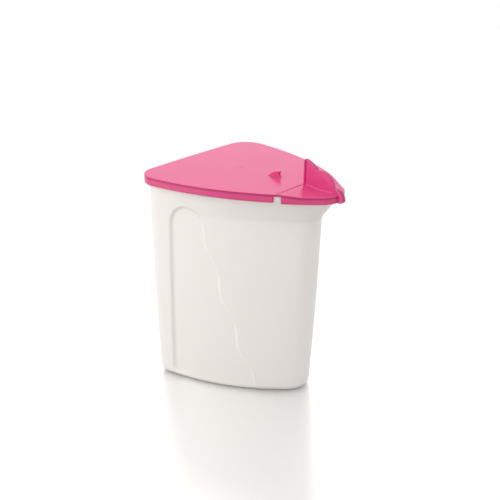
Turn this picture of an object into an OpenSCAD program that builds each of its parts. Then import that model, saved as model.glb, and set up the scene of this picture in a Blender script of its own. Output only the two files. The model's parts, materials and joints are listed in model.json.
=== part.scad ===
/* [Lid] */
// Height from the base to the top of the lid
total_h = 240; // [220:1:260]
// Length of the lid from its back edge to the tip of the spout
lid_len = 205; // [195:1:225]
// Width of the lid
lid_w = 180; // [165:1:195]
// Radius of the two back corners of the lid
back_corner_r = 24.7; // [20:0.1:30]
// Radius of the spout end of the lid
tip_r = 27; // [20:0.5:30]
// Radius of the long side curves of the lid
side_r = 300; // [270:5:340]
// Radius of the nearly straight back curve
back_r = 1900; // [1200:50:3000]
// Height of the skirt of the lid
skirt_h = 9.2; // [8:0.1:13]
// Thickness of the skirt
skirt_t = 2; // [1.5:0.1:2.4]
// Thickness of the top plate of the lid
plate_t = 2.4; // [2:0.1:3]
// Gap between the lid and the rim of the container
rim_gap = 0.4; // [0.3:0.05:0.6]
// Gap between the inner ribs of lid and flap and the ledge below them
rib_clear = 0.5; // [0.3:0.1:1]
// Thickness of the inner rib
rib_t = 1.6; // [1.2:0.1:2.2]

/* [Hinge and spout flap] */
// Distance from the tip of the spout back to the hinge line
hinge_from_tip = 45.5; // [42:0.1:50]
// Width of the thin flexing web
web_w = 1.2; // [1:0.1:2.4]
// Thickness of the flexing web
web_t = 0.5; // [0.4:0.05:0.8]
// Depth of the web below the top of the lid
web_drop = 0.5; // [0.4:0.05:0.8]
// Drop of the flat part of the flap below the top of the lid
flap_drop = 2.2; // [1.5:0.1:3]
// Thickness of the top plate of the flap
flap_t = 2; // [1.6:0.1:2.4]
// Length of the stretch of flap in front of the hinge that is flush with the lid
flush_len = 3; // [1:0.5:6]
// Length of the slope from the flush stretch down to the flat of the flap
slope_len = 16; // [8:0.5:20]
// Extra height of the skirt of the flap below that of the lid
flap_skirt_extra = 1; // [0:0.1:2]
// End of the lid skirt behind the hinge line
notch_back = 3.1; // [2:0.1:6]
// Start of the flap skirt in front of the hinge line
notch_front = 4.2; // [2:0.1:6]
// Distance from the hinge line to the inner rib of the flap
flap_rib_start = 22; // [20:1:28]
// Gap between the inner rib of the flap and the container
flap_rib_gap = 1.4; // [1:0.1:2]

/* [Fin, tab and catch] */
// Thickness of the upright fin
fin_t = 3; // [2.4:0.1:4]
// Distance from the hinge line to the back edge of the fin
fin_start = 1; // [0.9:0.1:3]
// Height of the fin above the top of the lid
fin_h = 27; // [22:0.5:30]
// Width of the flange along the back edge of the fin
flange_w = 6.4; // [4:0.2:8]
// Thickness of the flange
flange_t = 1.6; // [1.2:0.1:2.4]
// Reach of the front tab past the tip of the flap
tab_reach = 5; // [3:0.5:8]
// Width of the front tab
tab_w = 7; // [5:0.5:12]
// Length of the root of the tab on the flap
tab_root = 3.5; // [2:0.5:6]
// Length of the catch that holds the open flap
catch_len = 16.5; // [12:0.5:20]
// Height of the catch
catch_h = 7.4; // [5:0.2:9]
// Width of the catch
catch_w = 3.4; // [2.4:0.2:6]
// Gap between the catch and the opened fin
catch_gap = 1.9; // [0.5:0.1:3]
// Depth of the hollow in the front of the catch
catch_hollow = 1.9; // [1:0.1:2.4]

/* [Container] */
// Thickness of the container wall
wall_t = 1.8; // [1.5:0.1:2.4]
// Thickness of the container floor
floor_t = 2.2; // [1.6:0.1:3]
// Overhang of the lid past the wall below it
overhang = 5.85; // [5:0.05:8]
// How far the wall stands back from the spout end of the lid
tip_setback = 26; // [20:0.5:30]
// Draft of the back and side walls from rim to base
draft = 6; // [3:0.1:9]
// Further draft of the narrow end from rim to base
tip_draft = 11.5; // [6:0.5:16]
// Outward swell of the wall at half height
swell = 1.3; // [0:0.1:3]
// Radius of the corners of the base
base_corner_r = 13; // [10:0.5:20]
// Radius of the side curves of the base
base_side_r = 217; // [200:1:260]
// Radius of the rounded edge round the base
foot_r = 8; // [5:0.5:11]
// Height over which the pour beak flares out
beak_h = 26; // [20:1:34]

/* [Finger recess] */
// Height of the top of the arch of the recess
arch_top = 213; // [195:1:216]
// Height of the arch
arch_h = 23; // [15:1:30]
// Width of the arch
arch_w = 40; // [30:1:46]
// Middle of the arch along the container
arch_x = -22.5; // [-30:0.5:-15]
// Depth of the recess at its straight edge
recess_deep = 3; // [1.5:0.1:3.4]
// Depth of the recess at its waved edge
recess_shallow = 1.4; // [0.8:0.1:2]
// Width of the sloping edge of the recess
recess_edge = 3; // [2:0.5:5]
// Length of one wave of the waved edge
wave_pitch = 60; // [50:1:70]
// Swing of the waved edge to each side
wave_swing = 2.6; // [0:0.1:4]
// Forward lean of the waved edge, as travel over height
wave_lean = 0.273; // [0.15:0.005:0.32]

/* [Hidden] */
// Heights of the levels that pieces share
skirt_z = total_h - skirt_h;
plate_under_z = total_h - plate_t;
flap_top_z = total_h - flap_drop;
flap_under_z = flap_top_z - flap_t;
rest_gap = 0.3;
rim_step = 0.8;
rim_top_z = plate_under_z - rest_gap;
rim_dip = plate_under_z - flap_under_z;
rim_low_z = skirt_z + rim_step;
beak_z = skirt_z - beak_h;
// Places along the container, from the origin on the base
tip_x = 121;
hinge_x = tip_x - hinge_from_tip;
hinge_z = total_h - web_drop - web_t / 2;
back_x = tip_x - lid_len;
web_x0 = hinge_x - web_w / 2;
web_x1 = hinge_x + web_w / 2;
groove = 0.5;
slope_x0 = web_x1 + groove + flush_len;
slope_x1 = slope_x0 + slope_len;
rim_inset = skirt_t + rim_gap;
// Plan outlines: corner centre x and y, corner radius, tip centre x,
// tip radius, side radius and back radius
lid_plan = [back_x + back_corner_r, lid_w / 2 - back_corner_r, back_corner_r,
    tip_x - tip_r, tip_r, side_r, back_r];
wall_tip_r = 23;
wall_plan = let(o = inset_plan(lid_plan, overhang))
    [o[0], o[1], o[2], tip_x - tip_setback - wall_tip_r, wall_tip_r, o[5], o[6]];
beak_plan = inset_plan(lid_plan, overhang);
base_tip_r = 25;
back_draft = 0.9 * draft;
side_draft = 1.2 * draft;
base_plan = [
    back_x + overhang + back_draft + base_corner_r,
    lid_w / 2 - overhang - side_draft - base_corner_r,
    base_corner_r,
    tip_x - tip_setback - tip_draft - base_tip_r,
    base_tip_r, base_side_r, back_r];

// A plan outline moved inwards by a distance
function inset_plan(o, i) = [o[0], o[1], o[2] - i, o[3], o[4] - i, o[5] - i, o[6] - i];
// A plan outline between two others
function mix_plan(a, b, k) = [for (j = [0:6]) a[j] * (1 - k) + b[j] * k];
// Centre of the arc of radius r that holds two circles inside it
function arc_centre(c1, r1, c2, r2, r) =
    let(
        d = norm(c2 - c1),
        a = r - r1,
        b = r - r2,
        x = (a * a - b * b + d * d) / (2 * d),
        h = sqrt(max(a * a - x * x, 0)),
        u = (c2 - c1) / d)
    c1 + u * x + [-u[1], u[0]] * h;
function side_centre(o) = arc_centre([o[3], 0], o[4], [o[0], o[1]], o[2], o[5]);
function back_centre(o) = arc_centre([o[0], o[1]], o[2], [o[0], -o[1]], o[2], o[6]);
function heading(v) = atan2(v[1], v[0]);
function on_arc(c, r, a) = [c[0] + r * cos(a), c[1] + r * sin(a)];
// Mirrors the upper half of an outline, whose last point lies on the axis
function whole(half) = concat(half,
    [for (j = [len(half) - 2:-1:1]) [half[j][0], -half[j][1]]]);
// Upper half of a plan outline, from the tip round to the middle of the back
function half_outline(o, nt, ns, nc, nb) =
    let(
        cs = side_centre(o),
        cb = back_centre(o),
        at = heading([o[3], 0] - cs),
        ab = heading([o[0], o[1]] - cs),
        bb = heading([o[0], o[1]] - cb))
    concat(
        [for (j = [0:nt - 1]) on_arc([o[3], 0], o[4], at * j / nt)],
        [for (j = [0:ns - 1]) on_arc(cs, o[5], at + (ab - at) * j / ns)],
        [for (j = [0:nc - 1]) on_arc([o[0], o[1]], o[2], ab + (bb - ab) * j / nc)],
        [for (j = [0:nb]) on_arc(cb, o[6], bb + (180 - bb) * j / nb)]);
function outline(o) = whole(half_outline(o, 12, 12, 12, 4));

// Side edges of the finger recess at a height: straight edge, then waved edge
arch_base_z = arch_top - arch_h;
edge_lean = 0.028;
wave_drop = 4;
wave_top_z = arch_base_z - wave_drop;
narrow = 3;
function arch_half(z) =
    arch_w / 2 * sqrt(max(1 - pow((z - arch_base_z) / arch_h, 2), 0));
function straight_edge(z) = z < arch_base_z
    ? arch_x - arch_w / 2 - edge_lean * (arch_base_z - z)
    : arch_x - (z < arch_top ? max(arch_half(z), narrow) : narrow);
function waved_edge(z) = z < arch_base_z
    ? arch_x + arch_w / 2 + wave_lean * (wave_top_z - z)
        + wave_swing * sin(360 * (z - wave_top_z) / wave_pitch)
    : arch_x + (z < arch_top ? max(arch_half(z), narrow) : narrow);
// Share of its full depth that the recess has at a height
function recess_share(z) = max(0, min(1, (arch_top - z) / recess_edge, z / foot_r));

// Plan outline of the outside of the wall at a height
beak_curve = 1.05;
function wall_at(z) =
    let(
        k = min(z / skirt_z, 1),
        o = inset_plan(mix_plan(base_plan, wall_plan, k), -4 * swell * k * (1 - k)),
        b = z > beak_z ? pow(min((z - beak_z) / beak_h, 1), beak_curve) : 0,
        full = mix_plan(o, beak_plan, b))
    [o[0], o[1], o[2], full[3], full[4], full[5], o[6]];

// Segments round half an outline of the container
tip_seg = 5;
front_seg = 5;
recess_seg = 4;
rear_seg = 2;
corner_seg = 7;
back_seg = 2;
function steps(a, b, n) = [for (j = [0:n - 1]) a + (b - a) * j / n];
// Upper half of a ring of the container: plan outline o at height z, with the
// recess cut to a share of its depth and dip taken off behind the flap
function half_ring(o, z, share, dip) =
    let(
        cs = side_centre(o),
        cb = back_centre(o),
        at = heading([o[3], 0] - cs),
        ab = heading([o[0], o[1]] - cs),
        bb = heading([o[0], o[1]] - cb),
        e = recess_edge / 2,
        xs = straight_edge(z),
        xw = waved_edge(z),
        xt = cs[0] + o[5] * cos(at),
        xb = cs[0] + o[5] * cos(ab),
        side = concat(
            [for (x = steps(xt, xw + e, front_seg)) [x, 0]],
            [[xw + e, 0], [xw, recess_shallow / 2]],
            [for (j = [0:recess_seg])
                [xw - e + (xs - xw + 2 * e) * j / recess_seg,
                    recess_shallow + (recess_deep - recess_shallow) * j / recess_seg]],
            [[xs, recess_deep / 2]],
            [for (x = steps(xs - e, xb, rear_seg)) [x, 0]]),
        flat = concat(
            [for (a = steps(0, at, tip_seg)) on_arc([o[3], 0], o[4], a)],
            [for (p = side)
                let(a = acos((p[0] - cs[0]) / o[5])) on_arc(cs, o[5] - p[1] * share, a)],
            [for (a = steps(ab, bb, corner_seg)) on_arc([o[0], o[1]], o[2], a)],
            [for (j = [0:back_seg]) on_arc(cb, o[6], bb + (180 - bb) * j / back_seg)]))
    [for (p = flat) [p[0], p[1], z - dip * max(0, min(1, (p[0] - slope_x0) / flush_len))]];
function whole_ring(half) = concat(half,
    [for (j = [len(half) - 2:-1:1]) [half[j][0], -half[j][1], half[j][2]]]);
function ring(o, z, share = 0, dip = 0) = whole_ring(half_ring(o, z, share, dip));
function wall_ring(z, i) = ring(inset_plan(wall_at(z), i), z, recess_share(z));
function foot_ring(z0, r, i, a) =
    ring(inset_plan(wall_at(z0 + r * (1 - cos(a))), i + r * (1 - sin(a))),
        z0 + r * (1 - cos(a)), recess_share(z0 + r * (1 - cos(a))));

// Heights of the rings between the foot and the skirt of the lid
wall_rows = 20;
foot_angles = [0, 30, 60];
inner_foot_r = foot_r - wall_t;
wall_levels = concat(
    steps(foot_r, arch_base_z, wall_rows),
    [for (a = [0:15:75]) arch_base_z + arch_h * sin(a)],
    steps(arch_top, skirt_z, 4));
inner_levels = concat(
    steps(floor_t + inner_foot_r, arch_base_z, wall_rows),
    [for (a = [0:15:75]) arch_base_z + arch_h * sin(a)],
    steps(arch_top, skirt_z, 4));
rim_round = 0.6;
lip_flat = 0.2;
lip_drop = 0.5;
mouth_z = rim_low_z + wall_t;

module container() {
    rings = concat(
        [for (a = foot_angles) foot_ring(0, foot_r, 0, a)],
        [for (z = wall_levels) wall_ring(z, 0)],
        [wall_ring(skirt_z, 0)],
        [ring(inset_plan(lid_plan, rim_inset), rim_low_z)],
        [ring(inset_plan(lid_plan, rim_inset), rim_top_z - rim_round, 0, rim_dip)],
        [ring(inset_plan(lid_plan, rim_inset + rim_round), rim_top_z, 0, rim_dip)],
        [ring(inset_plan(lid_plan, rim_inset + wall_t - lip_flat), rim_top_z, 0, rim_dip)],
        [ring(inset_plan(lid_plan, rim_inset + wall_t), rim_top_z - lip_drop, 0, rim_dip)],
        [ring(inset_plan(lid_plan, rim_inset + wall_t), mouth_z)],
        [wall_ring(skirt_z, wall_t)],
        [for (j = [len(inner_levels) - 1:-1:0]) wall_ring(inner_levels[j], wall_t)],
        [for (j = [len(foot_angles) - 1:-1:0])
            foot_ring(floor_t, inner_foot_r, wall_t, foot_angles[j])]);
    n = len(rings[0]);
    last = len(rings) - 1;
    sides = [for (i = [0:last - 1], j = [0:n - 1], half = [0, 1])
        let(a = i * n + j, b = i * n + (j + 1) % n)
        half == 0 ? [a, a + n, b + n] : [a, b + n, b]];
    color([0.95, 0.94, 0.92])
    polyhedron(
        points = [for (r = rings, p = r) p],
        faces = concat(
            [[for (j = [0:n - 1]) j]],
            sides,
            [[for (j = [n - 1:-1:0]) last * n + j]]),
        convexity = 6);
}

// A slab of the plan between two heights, moved inwards by a distance
module slab(i, z0, z1) {
    translate([0, 0, z0])
    linear_extrude(z1 - z0)
    polygon(outline(inset_plan(lid_plan, i)));
}
// A band of the plan between two insets and two heights
module band(i0, i1, z0, z1) {
    translate([0, 0, z0])
    linear_extrude(z1 - z0)
    difference() {
        polygon(outline(inset_plan(lid_plan, i0)));
        polygon(outline(inset_plan(lid_plan, i1)));
    }
}
// Everything behind or in front of a line across the lid
reach = 2 * lid_len;
over = 1;
module behind(x) {
    translate([x - reach, -reach / 2, 0]) cube([reach, reach, 2 * total_h]);
}
module in_front(x) {
    translate([x, -reach / 2, 0]) cube([reach, reach, 2 * total_h]);
}
// A side view, drawn as points of x and z, made w wide about the middle plane
module side_prism(points, w) {
    translate([0, w / 2, 0])
    rotate([90, 0, 0])
    linear_extrude(w)
    polygon(points);
}
short_arc_seg = 8;
long_arc_seg = 12;
// Points along an arc from p to q that bulges to the left by s
function bulge_arc(p, q, s, n) =
    let(
        half = norm(q - p) / 2,
        r = (half * half + s * s) / (2 * abs(s)),
        u = (q - p) / (2 * half),
        m = (p + q) / 2,
        side = s > 0 ? 1 : -1,
        v = [-u[1], u[0]] * side,
        c = m - v * (r - abs(s)),
        span = asin(half / r))
    [for (j = [0:n]) let(a = -span + 2 * span * j / n)
        c + v * r * cos(a) + u * r * sin(a)];

peak_in = 1.8;
peak_up = 0.6;
web_top_z = hinge_z + web_t / 2;
web_under_z = hinge_z - web_t / 2;
fin_x = hinge_x + fin_start;
fin_top = [fin_x + peak_in, total_h + fin_h + peak_up];
open_reach = norm(fin_top - [hinge_x, hinge_z]);
catch_x = hinge_x - open_reach - catch_gap;
lid_rib_inset = rim_inset + wall_t + rim_gap;
lid_skirt_end = hinge_x - notch_back;
rib_under_z = mouth_z + rib_clear;

module catch() {
    n = 10;
    bury = 0.2;
    sunk_z = total_h - plate_t / 2;
    back = catch_x - catch_len;
    foot_z = total_h - bury;
    rise = catch_h + bury;
    ramp = [for (j = [0:n])
        [back + catch_len * j / n, foot_z + rise * (1 - pow(1 - j / n, 2))]];
    hollow = bulge_arc([catch_x, total_h + catch_h], [catch_x, foot_z], -catch_hollow, short_arc_seg);
    side_prism(concat(ramp, hollow, [[catch_x, sunk_z], [back, sunk_z]]), catch_w);
}

module lid() {
    color([0.95, 0.45, 0.62])
    union() {
        difference() {
            slab(0, plate_under_z, total_h);
            side_prism([[web_x0 - groove, total_h], [web_x0, web_top_z], [web_x0, skirt_z],
                [web_x0 + reach, skirt_z], [web_x0 + reach, total_h + over],
                [web_x0 - groove, total_h + over]], reach);
        }
        intersection() {
            band(0, skirt_t, skirt_z, total_h - plate_t / 2);
            behind(lid_skirt_end);
        }
        intersection() {
            band(lid_rib_inset, lid_rib_inset + rib_t, rib_under_z,
                total_h - plate_t / 2);
            behind(lid_skirt_end);
        }
        catch();
    }
}

flap_skirt_z = skirt_z - flap_skirt_extra;
flap_rib_inset = rim_inset + wall_t + flap_rib_gap;
// Top line of the flap, seen from the side
flap_line = [[web_x1, web_top_z], [web_x1 + groove, total_h], [slope_x0, total_h],
    [slope_x1, flap_top_z], [tip_x + over, flap_top_z]];

flap_mid_z = flap_top_z - flap_t / 2;
flush_mid_z = total_h - flap_t / 2;
notch_along = 17.7;
notch_up = 18.7;
upper_sag = 1.3;
lower_sag = 5.5;
step_back = 6.4;
step_up = 3.3;
notch_p = [hinge_x + notch_along, total_h + notch_up];
step_p = [tip_x - step_back, total_h + step_up];
tab_drop = 0.2;
tab_sag = 3.6;
tab_taper = 1.6;
tab_under_z = flap_skirt_z - tab_drop;
// Side view of the end of the fin, where it runs over the rim into the tab
tab_side = concat(
    [[tip_x - skirt_t / 2, flap_mid_z], [step_p[0] - over, flap_mid_z]],
    bulge_arc(step_p, [tip_x + tab_reach, skirt_z], tab_sag, long_arc_seg),
    [[tip_x + tab_reach - tab_taper, tab_under_z], [tip_x - skirt_t / 2, tab_under_z]]);

module fin() {
    side_prism(concat(
        [[slope_x1, flap_mid_z], [slope_x0, flush_mid_z], [fin_x, flush_mid_z],
            [fin_x, total_h + fin_h]],
        bulge_arc(fin_top, notch_p, upper_sag, short_arc_seg),
        bulge_arc(notch_p, step_p, lower_sag, long_arc_seg),
        [[step_p[0], flap_mid_z]]), fin_t);
    side_prism(tab_side, fin_t);
    translate([fin_x, -flange_w / 2, flush_mid_z])
    cube([flange_t, flange_w, total_h + fin_h - flush_mid_z]);
}

module tab() {
    intersection() {
        side_prism(tab_side, tab_w);
        in_front(tip_x - tab_root);
    }
}

module spout_flap() {
    color([0.93, 0.4, 0.58])
    union() {
        intersection() {
            slab(0, flap_under_z, total_h);
            side_prism(concat(flap_line, [[tip_x + over, flap_under_z], [slope_x1, flap_under_z],
                [slope_x0, total_h - flap_t], [web_x1, total_h - flap_t]]), reach);
        }
        intersection() {
            band(0, skirt_t, flap_skirt_z, total_h);
            in_front(hinge_x + notch_front);
            side_prism(concat(flap_line,
                [[tip_x + over, flap_skirt_z], [web_x1, flap_skirt_z]]), reach);
        }
        intersection() {
            band(flap_rib_inset, flap_rib_inset + rib_t, rib_under_z,
                flap_top_z - flap_t / 2);
            in_front(hinge_x + flap_rib_start);
        }
        fin();
        tab();
    }
}

module living_hinge() {
    color([0.9, 0.36, 0.55])
    intersection() {
        slab(0, web_under_z, web_top_z);
        translate([web_x0, -reach / 2, web_under_z]) cube([web_w, reach, web_t]);
    }
}

container();
lid();
spout_flap();
living_hinge();
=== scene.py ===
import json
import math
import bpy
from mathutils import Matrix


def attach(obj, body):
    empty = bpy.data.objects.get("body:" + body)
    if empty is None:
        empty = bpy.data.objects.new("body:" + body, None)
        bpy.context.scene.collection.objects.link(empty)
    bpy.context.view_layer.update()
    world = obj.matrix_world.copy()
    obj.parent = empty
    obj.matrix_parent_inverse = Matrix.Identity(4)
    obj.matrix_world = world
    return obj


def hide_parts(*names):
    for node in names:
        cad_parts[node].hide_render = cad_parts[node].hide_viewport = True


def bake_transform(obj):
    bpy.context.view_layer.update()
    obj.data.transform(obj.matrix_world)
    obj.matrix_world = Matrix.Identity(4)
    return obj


bl_info = {
    "name": "Cereal container with flip spout",
    "version": (1, 0, 0),
    "blender": (4, 5, 0),
    "location": "3D View > Sidebar > Container",
    "description": "Moulds a cereal container, its lid and flip spout around their packed solids",
    "category": "Object",
}

import bmesh
import bpy
from bpy.props import FloatProperty, FloatVectorProperty, PointerProperty
from mathutils import Vector

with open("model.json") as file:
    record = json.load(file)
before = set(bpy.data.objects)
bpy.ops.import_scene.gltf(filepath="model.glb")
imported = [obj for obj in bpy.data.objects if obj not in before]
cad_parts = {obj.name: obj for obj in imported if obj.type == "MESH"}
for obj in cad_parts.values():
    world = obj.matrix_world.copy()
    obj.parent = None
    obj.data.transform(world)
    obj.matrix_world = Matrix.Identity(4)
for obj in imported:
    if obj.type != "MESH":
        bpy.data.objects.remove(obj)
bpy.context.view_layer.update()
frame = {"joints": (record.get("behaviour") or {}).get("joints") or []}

NATURAL_SLOT = "natural_polypropylene"
PINK_SLOT = "pink_polypropylene"
GRAIN = 0.000001  # points nearer than this are one
HAIR = 0.00003  # the narrowest step between a plain and a skirted section
LEDGE = 0.0008  # rise of the container's ledge over the lower end of the skirt
BURY = 0.0006  # how far a root fillet runs on inside the fin and the flap
EDGE_BENDS = 6  # facets round a fillet
HINGE = next(j for j in frame["joints"] if j["name"] == "flap_hinge")
HINGE_X, _, HINGE_Z = HINGE["pos_m"]


def number(title, text, default, **limits):
    """A number that a user may change."""
    return FloatProperty(name=title, description=text, default=default, **limits)


def length(title, text, default):
    """A size in metres that a user may change."""
    return number(title, text, default, min=0, unit="LENGTH", precision=5)


def angle(title, text, degrees):
    """An angle that a user may change."""
    return number(title, text, math.radians(degrees), subtype="ANGLE")


def vector(title, text, default, **limits):
    """Numbers that go together, which a user may change."""
    return FloatVectorProperty(
        name=title, description=text, default=default, size=len(default), **limits
    )


def colour(title, text, default):
    """A colour in linear light that a user may change."""
    return vector(title, text, default, min=0, max=1, subtype="COLOR")


class LidSizes(bpy.types.PropertyGroup):
    """Sizes of the lid and of the plan that all pieces share."""

    height: length("Height", "From the base to the top of the lid", 0.240)
    tip: length("Spout end", "From the middle of the base to the spout end", 0.121)
    long: length("Length", "From the back edge to the spout end", 0.205)
    wide: length("Width", "Across the lid", 0.180)
    corner_r: length("Back corners", "Radius of the two back corners", 0.0247)
    tip_r: length("Spout radius", "Radius of the spout end", 0.027)
    side_r: length("Side radius", "Radius of the long side curves", 0.300)
    back_r: length("Back radius", "Radius of the back curve", 1.9)
    skirt: length("Skirt height", "Height of the skirt", 0.0092)
    skirt_t: length("Skirt thickness", "Thickness of the skirt", 0.002)
    plate_t: length("Plate thickness", "Thickness of the top plate", 0.0024)
    rim_gap: length("Rim gap", "Gap between lid and rim", 0.0004)
    rib_t: length("Rib thickness", "Thickness of the inner rib", 0.0016)
    rib_up: length("Rib gap", "Gap between inner rib and ledge", 0.0005)
    fillet: length("Edge radius", "Radius of the top edge", 0.0008)
    hem: length("Hem radius", "Radius of the lower outer edge of the skirt", 0.001)
    notch: length("Notch", "From the hinge line back to the skirt", 0.0031)


class FlapSizes(bpy.types.PropertyGroup):
    """Sizes of the spout flap, its hinge and its fin."""

    web_w: length("Web width", "Width of the flexing web", 0.0012)
    web_t: length("Web thickness", "Thickness of the flexing web", 0.0005)
    groove: length("Groove", "Width of the slope on each side of the web", 0.0005)
    drop: length("Drop", "Drop of the flap below the lid", 0.0022)
    thick: length("Thickness", "Thickness of the top plate", 0.002)
    flush: length("Flush stretch", "Length of the stretch level with the lid", 0.003)
    slope: length("Slope", "Length of the slope after the flush stretch", 0.016)
    extra: length("Skirt extra", "Extra height of the skirt", 0.001)
    notch: length("Notch", "From the hinge line to the skirt", 0.0042)
    rib_gap: length("Rib gap", "Gap between inner rib and container", 0.0014)
    rib_start: length("Rib start", "From the hinge line to the inner rib", 0.022)
    fin_t: length("Fin thickness", "Thickness of the upright fin", 0.003)
    fin_start: length("Fin start", "From the hinge line to the fin", 0.001)
    fin_h: length("Fin height", "Height of the fin above the lid", 0.027)
    fin_round: length("Fin edge", "Radius of the edges of the fin", 0.0007)
    root_r: length("Fin root", "Radius at the foot of the fin", 0.0012)
    flange_w: length("Flange width", "Width of the flange of the fin", 0.0064)
    flange_t: length("Flange thickness", "Thickness of the flange", 0.0016)
    tab_reach: length("Tab reach", "Reach of the tab past the spout end", 0.0049)
    tab_w: length("Tab width", "Width of the tab", 0.007)
    tab_root: length("Tab root", "Length of the root of the tab", 0.0035)


class CatchSizes(bpy.types.PropertyGroup):
    """Sizes of the catch that holds the opened flap."""

    long: length("Length", "Length of the catch", 0.0165)
    high: length("Height", "Height of the catch above the lid", 0.0074)
    wide: length("Width", "Width of the catch", 0.0034)
    fillet: length("Edge radius", "Radius of the edges of the catch", 0.0004)
    gap: length("Gap", "Gap between the catch and the opened fin", 0.0019)
    hollow: length("Hollow", "Depth of the hollow in the front", 0.0019)
    gate_x: number(
        "Gate place", "Place of the moulding gate along the lid", -0.0123, unit="LENGTH"
    )
    gate_r: length("Gate radius", "Radius of the moulding gate mark", 0.0017)


class VesselSizes(bpy.types.PropertyGroup):
    """Sizes of the container."""

    wall: length("Wall", "Thickness of the wall", 0.0018)
    floor: length("Floor", "Thickness of the floor", 0.0022)
    overhang: length("Overhang", "Overhang of the lid past the wall", 0.00585)
    setback: length("Setback", "How far the wall stands back at the spout", 0.026)
    wall_tip_r: length("Narrow end", "Radius of the narrow end", 0.023)
    draft: length("Draft", "Draft of the walls from rim to base", 0.006)
    tip_draft: length("Narrow draft", "Further draft of the narrow end", 0.0115)
    swell: length("Swell", "Outward swell at half height", 0.0013)
    base_corner_r: length("Base corners", "Radius of the base corners", 0.013)
    base_tip_r: length("Base narrow end", "Radius of the base's narrow end", 0.025)
    base_side_r: length("Base sides", "Radius of the base's sides", 0.217)
    foot_r: length("Foot", "Radius of the edge round the base", 0.008)
    beak: length("Beak", "Height over which the beak flares", 0.026)


class RecessSizes(bpy.types.PropertyGroup):
    """Sizes of the finger recess in each side."""

    top: length("Top", "Height of the top of the arch", 0.213)
    arch_h: length("Arch height", "Height of the arch", 0.023)
    arch_w: length("Arch width", "Width of the arch", 0.040)
    arch_x: number("Arch place", "Middle of the arch along the container", -0.0225, unit="LENGTH")
    deep: length("Deep side", "Depth at the straight edge", 0.003)
    shallow: length("Shallow side", "Depth at the waved edge", 0.0014)
    cove: length("Cove", "Width of the coved straight edge", 0.005)
    crest: length("Crest", "Width of the waved edge", 0.003)
    pitch: length("Wave", "Length of one wave", 0.060)
    swing: length("Swing", "Swing of the wave to each side", 0.0026)
    lean: number("Lean", "Forward lean, as travel over height", 0.273)
    corner: length("Lower corner", "Radius of the lower corner", 0.0085)


class Finishes(bpy.types.PropertyGroup):
    """Colours of the two plastics."""

    milky: colour("Milky", "Thicker places of the container", (0.930, 0.875, 0.830))
    milky_warm: colour("Milky warm", "Thin places", (0.912, 0.850, 0.796))
    pink: colour("Pink", "Lid and flap", (0.680, 0.051, 0.204))
    pink_pale: colour("Pale pink", "Where the pigment runs thin", (0.725, 0.061, 0.228))
    # Painted shade: this darker pink is painted into the crease under the top edge, at the hem of
    # the skirt and on the rim of the fin
    pink_painted_shade: colour("Deep pink", "Thick places along the edges", (0.460, 0.014, 0.115))


class StageSetup(bpy.types.PropertyGroup):
    """Camera, lamps and floor."""

    azimuth: angle("Azimuth", "Turn of the camera round the object", 40.96)
    elevation: angle("Elevation", "Height of the camera above the horizon", 22.85)
    distance: length("Distance", "From the camera to its target", 1.0714)
    target: vector(
        "Target", "Point that the camera is turned to", (-0.018, 0, 0.125), unit="LENGTH"
    )
    lens: number("Lens", "Focal length in millimetres", 67.4)
    shift: vector("Shift", "Shift of the picture frame", (0.0281, 0.0262))
    ambient: number("Ambient", "Strength of the even light", 0.94)
    key: number("Key", "Power of the soft lamp above the back", 3)
    fill: number("Fill", "Power of the soft lamp at the left", 7)
    floor_glow: number("Floor glow", "White that the floor shows by itself", 0.50)
    floor_sheen: number(
        "Floor sheen", "Share of the floor's light that is a soft reflection", 0.80
    )


# Plan outlines


class Plan:
    """A teardrop outline from above: spout end, long sides, back corners and back."""

    def __init__(self, corner_x, corner_y, corner_r, tip_x, tip_r, side_r, back_r):
        self.numbers = (corner_x, corner_y, corner_r, tip_x, tip_r, side_r, back_r)
        corner, tip = Vector((corner_x, corner_y)), Vector((tip_x, 0))
        below = Vector((corner_x, -corner_y))
        self.corner, self.corner_r = corner, corner_r
        self.tip, self.tip_r = tip, tip_r
        self.side_r, self.back_r = side_r, back_r
        self.side = arc_centre(tip, tip_r, corner, corner_r, side_r)
        self.back = arc_centre(corner, corner_r, below, corner_r, back_r)
        self.tip_end = heading(tip - self.side)
        self.side_end = heading(corner - self.side)
        self.corner_end = heading(corner - self.back)

    def inset(self, by):
        x, y, r, tx, tr, sr, kr = self.numbers
        return Plan(x, y, r - by, tx, tr - by, sr - by, kr - by)

    def mixed(self, other, share):
        return Plan(
            *(a + (b - a) * share for a, b in zip(self.numbers, other.numbers))
        )

    def front_as(self, other):
        """This outline with the spout end and sides of another."""
        x, y, r, _, _, _, kr = self.numbers
        return Plan(x, y, r, *other.numbers[3:6], kr)

    def side_angle(self, x):
        return math.acos((x - self.side.x) / self.side_r)

    def side_x(self, angle):
        return self.side.x + self.side_r * math.cos(angle)


def held(share):
    return min(max(share, 0), 1)


def heading(v):
    return math.atan2(v.y, v.x)


def arc_centre(c1, r1, c2, r2, r):
    """Centre of the arc of radius r that holds two circles inside it."""
    d = (c2 - c1).length
    a, b = r - r1, r - r2
    along = (a * a - b * b + d * d) / (2 * d)
    across = math.sqrt(max(a * a - along * along, 0))
    u = (c2 - c1) / d
    return c1 + u * along + Vector((-u.y, u.x)) * across


def steps(a, b, count):
    """Even steps from a up to, and without, b."""
    return [a + (b - a) * j / count for j in range(count)]


def lid_plan(lid):
    back = lid.tip - lid.long
    return Plan(
        back + lid.corner_r,
        lid.wide / 2 - lid.corner_r,
        lid.corner_r,
        lid.tip - lid.tip_r,
        lid.tip_r,
        lid.side_r,
        lid.back_r,
    )


class Station:
    """A place on the plan from which a section runs inwards.

    lock is the share by which the section is turned into the plane across the lid."""

    def __init__(self, centre, radius, angle, lock=0.0):
        self.centre, self.radius, self.angle, self.lock = centre, radius, angle, lock

    def at(self, inset):
        r = self.radius - inset
        angle = self.angle
        if self.lock:
            across = math.acos(self.radius * math.cos(angle) / r)
            angle += (across - angle) * self.lock
        return self.centre.x + r * math.cos(angle), self.centre.y + r * math.sin(angle)


# Meshes


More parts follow.
